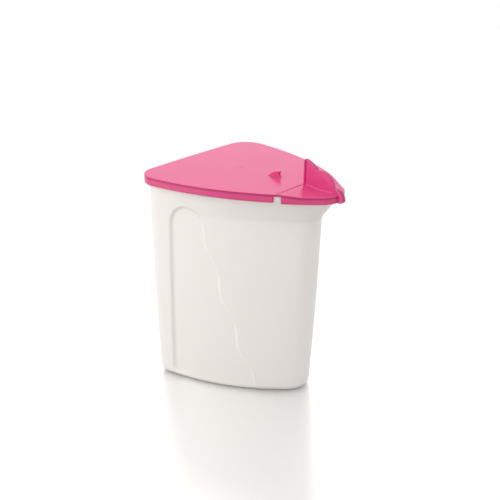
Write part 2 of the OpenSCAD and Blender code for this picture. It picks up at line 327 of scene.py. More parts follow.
def quarter(bends):
    """Angles from 0 to a right angle."""
    return [math.radians(90) * j / bends for j in range(bends + 1)]


def sides(count, rows):
    """Faces that join rows of count points, each row closed on itself."""
    return [
        (a + j, a + (j + 1) % count, a + count + (j + 1) % count, a + count + j)
        for a in range(0, (rows - 1) * count, count)
        for j in range(count)
    ]


def closed(count, rows):
    """The same faces, with one more over the first and the last row."""
    last = (rows - 1) * count
    return [tuple(range(count)), *sides(count, rows), tuple(range(last, last + count))]


def piece_from(name, points, faces, smooth_under=38):
    """A mesh object from points and faces, with its normals turned outwards."""
    mesh = bpy.data.meshes.new(name)
    shape = bmesh.new()
    verts = [shape.verts.new(p) for p in points]
    for face in faces:
        corners = [verts[i] for i in dict.fromkeys(face)]
        if len(corners) > 2:
            shape.faces.new(corners)
    bmesh.ops.dissolve_degenerate(shape, dist=GRAIN, edges=shape.edges)
    bmesh.ops.recalc_face_normals(shape, faces=shape.faces)
    shape.to_mesh(mesh)
    shape.free()
    mesh.shade_smooth()
    mesh.set_sharp_from_angle(angle=math.radians(smooth_under))
    piece = bpy.data.objects.new(name, mesh)
    bpy.context.scene.collection.objects.link(piece)
    return piece


def dress(piece, body, slot, plastic, *nodes):
    """Gives a piece its finish, its body and the nodes that it stands for."""
    piece.data.materials.append(plastic(bpy.context.scene.finishes))
    if nodes:
        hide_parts(*nodes)
    if body:
        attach(piece, body)


def dress_pink(piece, body, *nodes):
    """The same for a piece of the pink plastic."""
    dress(piece, body, PINK_SLOT, pink_plastic, *nodes)


def skirted_plate(name, stations, section, cells=10):
    """A plate with a skirt, from sections along half its outline and their mirror.

    stations run from the cut at the hinge to the axis. section(station) lists
    (inset, height at x) from the top of the plate out, down and back in below."""
    points, faces, columns = [], [], []
    for side in (1, -1):
        for station in stations:
            column = []
            for inset, height in section(station):
                x, y = station.at(inset)
                if station is stations[-1]:
                    y = 0
                column.append(len(points))
                points.append((x, side * y, height(x)))
            columns.append(column)
    count = len(stations)
    upper, lower = columns[:count], columns[count:]
    lower[-1] = upper[-1]
    around = upper + lower[-2::-1]
    for a, b in zip(around, around[1:]):
        faces += [(a[j], a[j + 1], b[j + 1], b[j]) for j in range(len(a) - 1)]

    def row(end):
        rows = []
        for a, b in zip(upper, lower):
            if a is b:
                rows.append([a[end]] * (cells + 1))
                continue
            p, q = Vector(points[a[end]]), Vector(points[b[end]])
            line = [a[end]]
            for j in range(1, cells):
                line.append(len(points))
                points.append(tuple(p.lerp(q, j / cells)))
            rows.append(line + [b[end]])
        return rows

    top, under = row(0), row(-1)
    for rows in (top, under):
        for a, b in zip(rows, rows[1:]):
            faces += [(a[j], a[j + 1], b[j + 1], b[j]) for j in range(cells)]
    faces.append(tuple(upper[0]))
    faces.append(tuple(lower[0]))
    faces += [
        (top[0][j], top[0][j + 1], under[0][j + 1], under[0][j]) for j in range(cells)
    ]
    return piece_from(name, points, faces)


def plate_section(top, under, skirt, rib, sizes):
    """The section of a plate with a skirt and a rib, as (inset, height at x).

    skirt and rib are the heights of their lower ends, or None where there is none."""
    fillet, hem, thick, rib_in, rib_t, edge, reach = sizes
    flat_from, plain_from = 1.8 * fillet, 1.5 * fillet
    line = [(reach, top), (flat_from, top)]
    for a in quarter(EDGE_BENDS):
        inset, down = fillet * (1 - math.sin(a)), fillet * (1 - math.cos(a))
        line.append((inset, lambda x, u=down: top(x) - u))
    line.append((0, lambda x: top(x) - plain_from))
    for end, outer, inner in ((skirt, 0, thick), (rib, rib_in, rib_in + rib_t)):
        foot = under if end is None else (lambda x, z=end: z)
        lift = 0 if end is None else edge
        if outer:
            line += [
                (outer, under),
                (outer, lambda x, f=foot, u=lift: f(x) + u),
                (outer + edge, foot),
            ]
        else:
            r = edge if end is None else hem
            for a in quarter(EDGE_BENDS):
                rise = r * (1 - math.sin(a))
                line.append((r * (1 - math.cos(a)), lambda x, f=foot, u=rise: f(x) + u))
        line += [
            (inner - edge, foot),
            (inner, lambda x, f=foot, u=lift: f(x) + u),
            (inner, under),
        ]
    line.append((reach, under))
    return line


def arc_points(p, q, sag, count):
    """Points along an arc from p to q that bulges to the left by sag."""
    p, q = Vector(p), Vector(q)
    half = (q - p).length / 2
    r = (half * half + sag * sag) / (2 * abs(sag))
    u = (q - p) / (2 * half)
    v = Vector((-u.y, u.x)) * (1 if sag > 0 else -1)
    centre = (p + q) / 2 - v * (r - abs(sag))
    span = math.asin(half / r)
    return [
        tuple(centre + v * r * math.cos(a) + u * r * math.sin(a))
        for a in [-span + 2 * span * j / count for j in range(count + 1)]
    ]


def inset_points(points, by, sharpest=0.6):
    """A closed side view, moved inwards by a distance; sharpest limits its mitres."""
    area = sum(
        a[0] * b[1] - b[0] * a[1] for a, b in zip(points, points[1:] + points[:1])
    )
    turn = 1 if area > 0 else -1
    moved = []
    for i, p in enumerate(points):
        before = (Vector(p) - Vector(points[i - 1])).normalized()
        after = (Vector(points[(i + 1) % len(points)]) - Vector(p)).normalized()
        n1 = Vector((-before.y, before.x)) * turn
        n2 = Vector((-after.y, after.x)) * turn
        mean = n1 + n2
        mean = mean / max(mean.length_squared / 2, sharpest)
        moved.append(tuple(Vector(p) + mean * by))
    return moved


def rounded_slab(name, points, width, edge, bends=4):
    """A side view of x and z made into a slab with rounded edges."""
    outline, edge_y = [], -width / 2
    rings = [
        (edge_y + edge * (1 - math.cos(a)), edge * (1 - math.sin(a)))
        for a in quarter(bends)
    ]
    rings += [(-y, by) for y, by in reversed(rings)]
    for y, by in rings:
        line = inset_points(points, by) if by > GRAIN else points
        outline += [(x, y, z) for x, z in line]
    return piece_from(name, outline, closed(len(points), len(rings)))


# Shader maths


class Value:
    """A number that varies over a surface: a shader socket with arithmetic."""

    def __init__(self, recipe, socket):
        self.recipe, self.socket = recipe, socket

    def math(self, operation, *values, clamp=False):
        node = self.recipe.tree.nodes.new("ShaderNodeMath")
        node.operation = operation
        node.use_clamp = clamp
        for socket, value in zip(node.inputs, values):
            self.recipe.feed(socket, value)
        return Value(self.recipe, node.outputs[0])

    def __add__(self, other):
        return self.math("ADD", self, other)

    def __radd__(self, other):
        return self.math("ADD", other, self)

    def __sub__(self, other):
        return self.math("SUBTRACT", self, other)

    def __rsub__(self, other):
        return self.math("SUBTRACT", other, self)

    def __mul__(self, other):
        return self.math("MULTIPLY", self, other)

    def __rmul__(self, other):
        return self.math("MULTIPLY", other, self)

    def held(self):
        """The same number, held between 0 and 1."""
        return self.math("ADD", self, 0.0, clamp=True)


class Recipe:
    """A material or world and the nodes that make it."""

    def __init__(self, owner):
        owner.use_nodes = True
        self.owner, self.tree = owner, owner.node_tree
        self.tree.nodes.clear()

    def feed(self, socket, value):
        if isinstance(value, Value):
            self.tree.links.new(value.socket, socket)
        elif isinstance(value, bpy.types.NodeSocket):
            self.tree.links.new(value, socket)
        else:
            socket.default_value = value

    def node(self, kind, settings=None, **values):
        """A node of a kind: its settings first, then its sockets' values or links."""
        node = self.tree.nodes.new(kind)
        for key, setting in (settings or {}).items():
            setattr(node, key, setting)
        for key, value in values.items():
            title = key.replace("_", " ")
            socket = next(s for s in node.inputs if s.enabled and s.name == title)
            self.feed(socket, value)
        return node

    def out(self, node, title):
        return next(s for s in node.outputs if s.enabled and s.name == title)

    def place(self):
        """The point on the piece, in metres."""
        return self.node("ShaderNodeTexCoord").outputs["Object"]

    def stretched(self, point, scale):
        node = self.node("ShaderNodeVectorMath", {"operation": "MULTIPLY"})
        self.feed(node.inputs[0], point)
        self.feed(node.inputs[1], scale)
        return node.outputs[0]

    def noise(self, point, scale, detail=2.0, roughness=0.5):
        sizes = {"Scale": scale, "Detail": detail, "Roughness": roughness}
        return Value(self, self.node("ShaderNodeTexNoise", Vector=point, **sizes).outputs[0])

    def sharpened(self, value, low, high):
        """The value, drawn apart so that low becomes 0 and high becomes 1."""
        node = self.node("ShaderNodeMapRange", Value=value, From_Min=low, From_Max=high)
        return Value(self, node.outputs[0])

    def blend(self, share, a, b):
        """A colour between two others."""
        node = self.node("ShaderNodeMix", {"data_type": "RGBA"}, Factor=share, A=a, B=b)
        return self.out(node, "Result")

    def bump(self, height, strength, distance, normal=None):
        node = self.node(
            "ShaderNodeBump", Height=height, Strength=strength, Distance=distance
        )
        if normal is not None:
            self.feed(node.inputs["Normal"], normal)
        return node.outputs[0]

    def plastic(self, tint, roughness, relief, ior):
        return self.node(
            "ShaderNodeBsdfPrincipled",
            Base_Color=tint,
            Roughness=roughness.held(),
            Normal=relief,
            IOR=ior,
        )

    def deepen(self, shader, weight, radius, scale):
        """Lets light run on inside the plastic."""
        shader.inputs["Subsurface Weight"].default_value = weight
        shader.inputs["Subsurface Radius"].default_value = radius
        shader.inputs["Subsurface Scale"].default_value = scale

    def finish(self, shader):
        kind = "World" if isinstance(self.owner, bpy.types.World) else "Material"
        end = self.node("ShaderNodeOutput" + kind)
        self.feed(end.inputs["Surface"], shader.outputs[0])
        return self.owner


BLACK, GREY, WHITE = (0, 0, 0, 1), (0.52, 0.52, 0.52, 1), (1, 1, 1, 1)


def opaque(rgb):
    return (*rgb, 1.0)


def natural_plastic(finishes):
    """Milky polypropylene: cloudy, faintly streaked by the flow, with a satin skin."""
    name = "natural_polypropylene_satin"
    if name in bpy.data.materials:
        return bpy.data.materials[name]
    r = Recipe(bpy.data.materials.new(name))
    point = r.place()
    cloud = r.noise(point, scale=14, detail=3)
    streaks = r.noise(r.stretched(point, (90, 90, 9)), scale=1, detail=3)
    skin = r.noise(point, scale=1400, detail=2, roughness=0.6)
    ripple = r.noise(r.stretched(point, (22, 22, 12)), scale=1, detail=1)
    rubbed = r.noise(r.stretched(point, (60, 60, 240)), scale=1, detail=5, roughness=0.7)
    scuffs = r.sharpened(rubbed, low=0.56, high=0.72)
    share = (cloud * 0.7 + streaks * 0.3).held()
    tint = r.blend(share, opaque(finishes.milky_warm), opaque(finishes.milky))
    relief = r.bump(ripple, strength=0.12, distance=0.004)
    relief = r.bump(skin, strength=0.10, distance=0.0001, normal=relief)
    roughness = 0.40 + skin * 0.10 + scuffs * 0.12
    shader = r.plastic(tint, roughness, relief, ior=1.49)
    r.deepen(shader, weight=0.25, radius=(1.0, 0.9, 0.8), scale=0.004)
    return r.finish(shader)


# Where the painted shade sets in: depths below the top of a plate, heights above the foot of
# the skirt, heights of the fin above the lid and insets from its sides; then its shares
JOINT_FROM, JOINT_TO = (0.0003, 0.0007), (0.0018, 0.0034)
HEM_ABOVE = (0.0020, 0.0003)
FIN_ABOVE, FIN_INSIDE = (0.0004, 0.0012), (0.0006, 0.0002)
HEM_SHADE, FIN_SHADE = 0.45, 0.7


def painted_shade_share(r, point):
    """Share of painted shade: 1 where a skirt joins its plate, less at its hem and on the fin's
    rim.
    """
    lid, flap = bpy.context.scene.lid_sizes, bpy.context.scene.flap_sizes
    x, y, z = (
        Value(r, socket) for socket in r.node("ShaderNodeSeparateXYZ", Vector=point).outputs
    )
    start = slope_start(flap)
    depth = lid.height - r.sharpened(x, start, start + flap.slope) * flap.drop - z
    joint_shade = r.sharpened(depth, *JOINT_FROM) - r.sharpened(depth, *JOINT_TO)
    hem = r.sharpened(depth, *(lid.skirt - up for up in HEM_ABOVE))
    on_plate = 1.0 - r.sharpened(x, lid.tip, lid.tip + HAIR)
    half = flap.fin_t / 2
    rim = 1.0 - r.sharpened(y.math("ABSOLUTE", y), *(half - by for by in FIN_INSIDE))
    rim = rim * r.sharpened(0.0 - depth, *FIN_ABOVE)
    return ((joint_shade + hem * HEM_SHADE) * on_plate + rim * FIN_SHADE).held()


def pink_plastic(finishes):
    """Pigmented polypropylene: even pink with faint flow marks, a fine satin grain and painted
    edge shade.
    """
    name = "pink_polypropylene_satin"
    if name in bpy.data.materials:
        return bpy.data.materials[name]
    r = Recipe(bpy.data.materials.new(name))
    point = r.place()
    flow = r.noise(r.stretched(point, (26, 26, 60)), scale=1, detail=3)
    grain = r.noise(point, scale=1700, detail=2, roughness=0.6)
    sink = r.noise(point, scale=24, detail=1)
    rubbed = r.noise(r.stretched(point, (50, 320, 50)), scale=1, detail=5, roughness=0.7)
    scuffs = r.sharpened(rubbed, low=0.58, high=0.74)
    tint = r.blend(flow, opaque(finishes.pink), opaque(finishes.pink_pale))
    # Painted shade: darker pink in the crease under the top edge, at the skirt's hem and on the
    # fin's rim
    tint = r.blend(painted_shade_share(r, point), tint, opaque(finishes.pink_painted_shade))
    relief = r.bump(sink, strength=0.10, distance=0.002)
    relief = r.bump(grain, strength=0.12, distance=0.0001, normal=relief)
    roughness = 0.18 + grain * 0.08 + scuffs * 0.05
    shader = r.plastic(tint, roughness, relief, ior=1.50)
    r.deepen(shader, weight=0.10, radius=(1.0, 0.35, 0.45), scale=0.002)
    return r.finish(shader)


def seen_directly(r):
    """1 for rays that show the background as white, 0 for those that light the scene."""
    rays = r.node("ShaderNodeLightPath").outputs
    total = Value(r, rays["Is Camera Ray"]) + Value(r, rays["Is Glossy Ray"])
    return (total + Value(r, rays["Is Transmission Ray"])).held()


# The container


class Vessel:
    """The container's outline at every height, with its beak and finger recesses."""

    BACK_DRAFT, SIDE_DRAFT = 0.9, 1.2  # shares of the draft at the back and the sides
    BEAK_CURVE, BEAK_SOFT = 1.05, 0.07
    EDGE_LEAN = 0.028  # lean of the straight edge of the recess
    CORNER_UP = 0.75  # share of the foot's radius below the recess's lower corner
    WAVE_DROP = 0.004
    LIP = 0.0005  # softness of the lip of the cove
    SLOPE_RUN = 0.001  # run over which the slope of the waved edge is taken
    COVE_CURVE, CREST_START = 2.4, 0.15
    NARROW = 0.007  # least half width of the recess at the top of its arch
    MARGIN, LIP_ZONE, CREST_ZONE = 0.0012, 0.0009, 1.2  # where points stand closer
    ARCH_ANGLES = range(0, 66, 5)
    RING_STEP, CROWN_STEP, CROWN_OVER = 0.0032, 0.0004, 0.0008
    RIM_CLEAR, LEDGE_R = 0.0003, 0.0004
    # The rim's two edges, as insets and heights from its corners
    RIM_OUTER = ((0, -0.0007), (0.00015, -0.00025), (0.0006, 0))
    RIM_INNER = ((-0.0003, 0), (0, -0.0005))

    def __init__(self, lid, sizes, recess):
        self.lid, self.sizes, self.recess = lid, sizes, recess
        self.skirt_z = lid.height - lid.skirt
        self.plan = lid_plan(lid)
        over = self.plan.inset(sizes.overhang)
        x, y, r, _, _, side_r, back_r = over.numbers
        tip = lid.tip - sizes.setback - sizes.wall_tip_r
        self.wall_plan = Plan(x, y, r, tip, sizes.wall_tip_r, side_r, back_r)
        self.beak_plan = over
        back = lid.tip - lid.long
        over_back = sizes.overhang + self.BACK_DRAFT * sizes.draft + sizes.base_corner_r
        over_side = sizes.overhang + self.SIDE_DRAFT * sizes.draft + sizes.base_corner_r
        self.base_plan = Plan(
            back + over_back,
            lid.wide / 2 - over_side,
            sizes.base_corner_r,
            lid.tip - sizes.setback - sizes.tip_draft - sizes.base_tip_r,
            sizes.base_tip_r,
            sizes.base_side_r,
            lid.back_r,
        )
        self.arch_z = recess.top - recess.arch_h

    def wall(self, z):
        """The plan outline of the outside of the wall at a height."""
        k = min(z / self.skirt_z, 1)
        swell = -4 * self.sizes.swell * k * (1 - k)
        plain = self.base_plan.mixed(self.wall_plan, k).inset(swell)
        up = (z - self.skirt_z + self.sizes.beak) / self.sizes.beak
        share = min((up + math.hypot(up, self.BEAK_SOFT)) / 2, 1) ** self.BEAK_CURVE
        return plain.front_as(plain.mixed(self.beak_plan, share))

    def arch_half(self, z):
        up = held((z - self.arch_z) / self.recess.arch_h)
        return self.recess.arch_w / 2 * math.sqrt(1 - up * up)

    def straight_edge(self, z):
        """Where the straight edge of the recess stands at a height."""
        s = self.recess
        if z >= self.arch_z:
            return s.arch_x - max(self.arch_half(z), self.NARROW)
        x = s.arch_x - s.arch_w / 2 - self.EDGE_LEAN * (self.arch_z - z)
        foot = self.sizes.foot_r * self.CORNER_UP + s.corner
        if z < foot:
            x += s.corner - math.sqrt(max(s.corner**2 - (foot - z) ** 2, 0))
        return x

    def waved_edge(self, z):
        """Where the waved edge of the recess stands at a height."""
        s = self.recess
        if z >= self.arch_z:
            return s.arch_x + max(self.arch_half(z), self.NARROW)
        down = self.arch_z - self.WAVE_DROP - z
        wave = s.swing * math.sin(-math.tau * down / s.pitch)
        return s.arch_x + s.arch_w / 2 + s.lean * down + wave

    def depth(self, x, z):
        """Depth of the recess at a place on the side."""
        s = self.recess
        left, right = self.straight_edge(z), self.waved_edge(z)
        if z >= self.arch_z:
            half_w, half_h = s.arch_w / 2, s.arch_h
            out = math.hypot((x - s.arch_x) / half_w, (z - self.arch_z) / half_h)
            inside = (1 - out) * (half_w + half_h) / 2
            across = held((x - s.arch_x) / s.arch_w + 0.5)
            share = self.cove(inside) * (1 - across) + self.crest(inside) * across
        else:
            slope = (self.waved_edge(z - self.SLOPE_RUN) - right) / self.SLOPE_RUN
            near = (right - x) / math.hypot(1, slope)
            share = min(self.cove(x - left), self.crest(near))
            across = held((x - left) / (right - left))
        floor = s.deep + (s.shallow - s.deep) * across
        return floor * share * min(z / self.sizes.foot_r, 1)

    def cove(self, inside):
        """Share of the depth at a distance inside the straight edge."""
        soft = (inside + math.hypot(inside, self.LIP)) / 2
        return 1 - max(1 - soft / self.recess.cove, 0) ** self.COVE_CURVE

    def crest(self, inside):
        """Share of the depth at a distance inside the waved edge."""
        t = held(inside / self.recess.crest + self.CREST_START)
        return t * t * (3 - 2 * t)

    def ring(self, plan, z, recessed=False, dip=0.0):
        """Points round the container at a height, from the spout end."""
        s = self.recess
        start, end = plan.side_x(plan.tip_end), plan.side_x(plan.side_end)
        left, right = self.straight_edge(z), self.waved_edge(z)
        zones = (
            (start, 16),
            (right + self.MARGIN, 9),
            (right - s.crest * self.CREST_ZONE, 12),
            (left + s.cove, 8),
            (left + self.LIP_ZONE, 6),
            (left - self.MARGIN, 5),
            (end, 0),
        )
        flat = [on_arc(plan.tip, plan.tip_r, a) for a in steps(0, plan.tip_end, 18)]
        for (first, count), (last, _) in zip(zones, zones[1:]):
            for x in steps(first, last, count):
                deep = self.depth(x, z) if recessed else 0
                flat.append(on_arc(plan.side, plan.side_r - deep, plan.side_angle(x)))
        for a in steps(plan.side_end, plan.corner_end, 16):
            flat.append(on_arc(plan.corner, plan.corner_r, a))
        for a in steps(plan.corner_end, math.pi, 4):
            flat.append(on_arc(plan.back, plan.back_r, a))
        flat.append((plan.back.x - plan.back_r, 0))
        flap = bpy.context.scene.flap_sizes
        half = []
        for x, y in flat:
            half.append((x, y, z - dip * held((x - slope_start(flap)) / flap.flush)))
        return half + [(x, -y, z) for x, y, z in half[-2:0:-1]]

    def foot_rings(self, low, radius, inset, bends):
        rings = []
        for a in quarter(bends)[:-1]:
            z = low + radius * (1 - math.cos(a))
            plan = self.wall(z).inset(inset + radius * (1 - math.sin(a)))
            rings.append(self.ring(plan, z, True))
        return rings

    def levels(self, low):
        """Heights of the rings between the foot and the rim."""
        s = self.recess
        rise = [self.arch_z + s.arch_h * math.sin(math.radians(a)) for a in self.ARCH_ANGLES]
        count = round((self.arch_z - low) / self.RING_STEP)
        crown = s.top + self.CROWN_OVER
        return (
            steps(low, self.arch_z, count)
            + rise
            + steps(rise[-1] + self.CROWN_STEP, crown, 8)
            + steps(crown, self.skirt_z, 8)
        )

    def rings(self):
        """All rings from the outside of the base over the rim to the inside floor."""
        lid, s = self.lid, self.sizes
        flap = bpy.context.scene.flap_sizes
        rim_out = lid.skirt_t + lid.rim_gap
        rim_in = rim_out + s.wall
        rim_top = lid.height - lid.plate_t - self.RIM_CLEAR
        rim_low = self.skirt_z + LEDGE
        dip = flap.drop + flap.thick - lid.plate_t
        rings = self.foot_rings(0, s.foot_r, 0, 9)
        rings += [self.ring(self.wall(z), z, True) for z in self.levels(s.foot_r)]
        rings.append(self.ring(self.wall(self.skirt_z), self.skirt_z))
        rim = [(rim_out + self.LEDGE_R, rim_low, 0), (rim_out, rim_low + self.LEDGE_R, 0)]
        rim += [(rim_out + by, rim_top + up, dip) for by, up in self.RIM_OUTER]
        rim += [(rim_in + by, rim_top + up, dip) for by, up in self.RIM_INNER]
        rim.append((rim_in, rim_low + s.wall, 0))
        rings += [self.ring(self.plan.inset(by), z, dip=low) for by, z, low in rim]
        rings.append(self.ring(self.wall(self.skirt_z).inset(s.wall), self.skirt_z))
        inner_r = s.foot_r - s.wall
        for z in reversed(self.levels(s.floor + inner_r)):
            rings.append(self.ring(self.wall(z).inset(s.wall), z, True))
        rings += reversed(self.foot_rings(s.floor, inner_r, s.wall, 6))
        return rings


def on_arc(centre, r, angle):
    return centre.x + r * math.cos(angle), centre.y + r * math.sin(angle)


def slope_start(flap):
    """Where the flush stretch of the flap ends and its slope starts."""
    return HINGE_X + flap.web_w / 2 + flap.groove + flap.flush


class KEEPER_OT_vessel(bpy.types.Operator):
    """Moulds the container with its beak, its rim and its finger recesses"""

    bl_idname = "keeper.vessel"
    bl_label = "Container"

    def execute(self, context):
        scene = context.scene
        sizes = (scene.lid_sizes, scene.vessel_sizes, scene.recess_sizes)
        rings = Vessel(*sizes).rings()
        faces = closed(len(rings[0]), len(rings))
        vessel = piece_from("vessel", [p for ring in rings for p in ring], faces, 45)
        dress(vessel, "container", NATURAL_SLOT, natural_plastic, "container")
        return {"FINISHED"}


# The lid


def half_stations(plan, places, to_back):
    """Stations on the upper half of the outline: on the side at given places across,
    then on to the back or the spout end."""
    stations = []
    end = plan.side_end if to_back else plan.tip_end
    start = plan.side_angle(places[0])
    for x in places:
        angle = plan.side_angle(x)
        lock = 1 - (angle - start) / (end - start)
        stations.append(Station(plan.side, plan.side_r, angle, lock))
    last = stations[-1].angle
    for angle in steps(last, end, 30 if to_back else 12)[1:]:
        lock = 1 - (angle - start) / (end - start)
        stations.append(Station(plan.side, plan.side_r, angle, lock))
    if to_back:
        for a in steps(plan.side_end, plan.corner_end, 18):
            stations.append(Station(plan.corner, plan.corner_r, a))
        for a in steps(plan.corner_end, math.pi, 5) + [math.pi]:
            stations.append(Station(plan.back, plan.back_r, a))
    else:
        for a in steps(plan.tip_end, 0, 20) + [0]:
            stations.append(Station(plan.tip, plan.tip_r, a))
    return stations


# The rounded ends of the skirts: their length and the curve of their lower edge
END_ROUND, END_CURVE = 0.0006, 0.0009
# The sections nearest to the ends of the skirts: in the notch, and on lid and flap
NOTCH_SIDE, LID_SIDE, FLAP_SIDE = 0.001, 0.002, 0.0014
RIB_EDGE = 0.0003  # radius at the foot of the inner ribs
LID_REACH, FLAP_REACH = 0.0085, 0.0095  # from the edge of a plate to its plain middle


def skirt_foot(height, run):
    """The height of the foot of a skirt, at a distance from its end."""
    return height + max(END_ROUND - run, 0) ** 2 / END_CURVE


class KEEPER_OT_lid(bpy.types.Operator):
    """Moulds the lid with its skirt, its inner rib and the groove along the hinge"""

    bl_idname = "keeper.lid"
    bl_label = "Lid"

    def execute(self, context):
        scene = context.scene
        lid, flap, vessel = scene.lid_sizes, scene.flap_sizes, scene.vessel_sizes
        cut = HINGE_X - flap.web_w / 2
        skirt_end = HINGE_X - lid.notch
        groove, web_top = flap.groove, HINGE_Z + flap.web_t / 2
        skirt_z = lid.height - lid.skirt
        under_z = lid.height - lid.plate_t
        rib_z = skirt_z + LEDGE + vessel.wall + lid.rib_up
        rib_in = lid.skirt_t + 2 * lid.rim_gap + vessel.wall

        def top(x):
            return lid.height + (web_top - lid.height) * held((x - cut + groove) / groove)

        def under(x):
            return under_z

        sizes = (lid.fillet, lid.hem, lid.skirt_t, rib_in, lid.rib_t, RIB_EDGE, LID_REACH)

        def section(station):
            x = station.at(0)[0]
            if x > skirt_end + HAIR / 2:
                return plate_section(top, under, None, None, sizes)
            return plate_section(top, under, skirt_foot(skirt_z, skirt_end - x), rib_z, sizes)

        places = [cut, cut - groove, skirt_end + NOTCH_SIDE, skirt_end + HAIR]
        places += [skirt_end - by for by in (0, END_ROUND / 2, END_ROUND, LID_SIDE)]
        stations = half_stations(lid_plan(lid), places, True)
        plate = skirted_plate("lid_plate", stations, section)
        dress_pink(plate, "lid", "lid")
        return {"FINISHED"}


# The section of the gate mark: shares of its radius, and heights above the lid
GATE = (
    (1, -0.0004),
    (1, 0.00005),
    (0.9, 0.00022),
    (0.72, 0.00025),
    (0.6, 0.00012),
    (0.36, 0.00010),
    (0.25, 0.00024),
)


def open_catch_x(lid, flap, catch):
    """Where the front of the catch stands, just past the opened fin."""
    along, up = PEAK
    peak = (flap.fin_start + along, lid.height + flap.fin_h + up - HINGE_Z)
    return HINGE_X - math.hypot(*peak) - catch.gap


class KEEPER_OT_catch(bpy.types.Operator):
    """Moulds the catch that holds the opened flap, and the mark of the gate"""

    bl_idname = "keeper.catch"
    bl_label = "Catch and gate mark"

    def execute(self, context):
        scene = context.scene
        lid, catch = scene.lid_sizes, scene.catch_sizes
        front = open_catch_x(lid, scene.flap_sizes, catch)
        back = front - catch.long
        low = lid.height - lid.plate_t / 2
        peak = lid.height + catch.high
        outline = [(back, low)]
        for s in steps(0, 1, 20) + [1]:
            rise = 1 - (1 - s) ** 2
            outline.append((back + catch.long * s, lid.height + catch.high * rise))
        nose, foot = (front, peak), (front, lid.height)
        outline += arc_points(nose, foot, -catch.hollow, 12)[1:]
        outline.append((front, low))
        hook = rounded_slab("catch", outline, catch.wide, catch.fillet)
        dress_pink(hook, "lid")

        turns = 40
        points = [
            (
                catch.gate_x + catch.gate_r * share * math.cos(a),
                catch.gate_r * share * math.sin(a),
                lid.height + z,
            )
            for share, z in GATE
            for a in steps(0, math.tau, turns)
        ]
        gate = piece_from("gate_mark", points, closed(turns, len(GATE)), 50)
        dress_pink(gate, "lid")
        return {"FINISHED"}


# The flap


def flap_top(lid, flap):
    """The height of the top of the flap at x."""
    start = HINGE_X + flap.web_w / 2
    web_top = HINGE_Z + flap.web_t / 2

    def past(run, soft=0.003):
        return (run + math.hypot(run, soft)) / 2

    def top(x):
        if x <= start + flap.groove:
            return web_top + (lid.height - web_top) * held((x - start) / flap.groove)
        run = x - slope_start(flap)
        return lid.height - flap.drop * (past(run) - past(run - flap.slope)) / flap.slope

    return top


class KEEPER_OT_flap(bpy.types.Operator):
    """Moulds the spout flap with its skirt and its inner rib"""

    bl_idname = "keeper.flap"
    bl_label = "Spout flap"

    def execute(self, context):
        scene = context.scene
        lid, flap, vessel = scene.lid_sizes, scene.flap_sizes, scene.vessel_sizes
        start = HINGE_X + flap.web_w / 2
        top = flap_top(lid, flap)
        flat_under = lid.height - flap.drop - flap.thick
        skirt_z = lid.height - lid.skirt - flap.extra
        rib_z = lid.height - lid.skirt + LEDGE + vessel.wall + lid.rib_up
        rib_in = lid.skirt_t + lid.rim_gap + vessel.wall + flap.rib_gap
        skirt_from = HINGE_X + flap.notch
        rib_from = HINGE_X + flap.rib_start

        def under(x):
            share = held((x - slope_start(flap)) / flap.slope)
            return lid.height - flap.thick + (flat_under - lid.height + flap.thick) * share

        sizes = (lid.fillet, lid.hem, lid.skirt_t, rib_in, lid.rib_t, RIB_EDGE, FLAP_REACH)

        def section(station):
            x = station.at(0)[0]
            skirt = rib = None
            if x > skirt_from - HAIR / 2:
                skirt = skirt_foot(skirt_z, x - skirt_from)
            if x > rib_from - HAIR / 2:
                rib = rib_z
            return plate_section(top, under, skirt, rib, sizes)

        places = [start, start + flap.groove, skirt_from - HAIR, skirt_from]
        places += [skirt_from + END_ROUND / 2, skirt_from + END_ROUND]
        places += steps(skirt_from + FLAP_SIDE, rib_from - HAIR, 12)
        places += [rib_from - HAIR, rib_from]
        stations = half_stations(lid_plan(lid), places, False)
        plate = skirted_plate("flap_plate", stations, section)
        dress_pink(plate, "spout_flap", "spout_flap")
        return {"FINISHED"}


# Points of the fin, as x and z from the places named in the fin's operator, and its arcs
PEAK = (0.0018, 0.0006)
NOTCH = (0.0177, 0.0187)
STEP = (-0.0064, 0.0033)
UPPER_SAG, LOWER_SAG, TAB_SAG = 0.0013, 0.0055, 0.0036
TAB_DROP, TAB_TAPER = 0.0002, 0.0016
ROOT_FROM, ROOT_TO = 0.001, 0.0005  # how far the root fillets stop short of the fin's ends


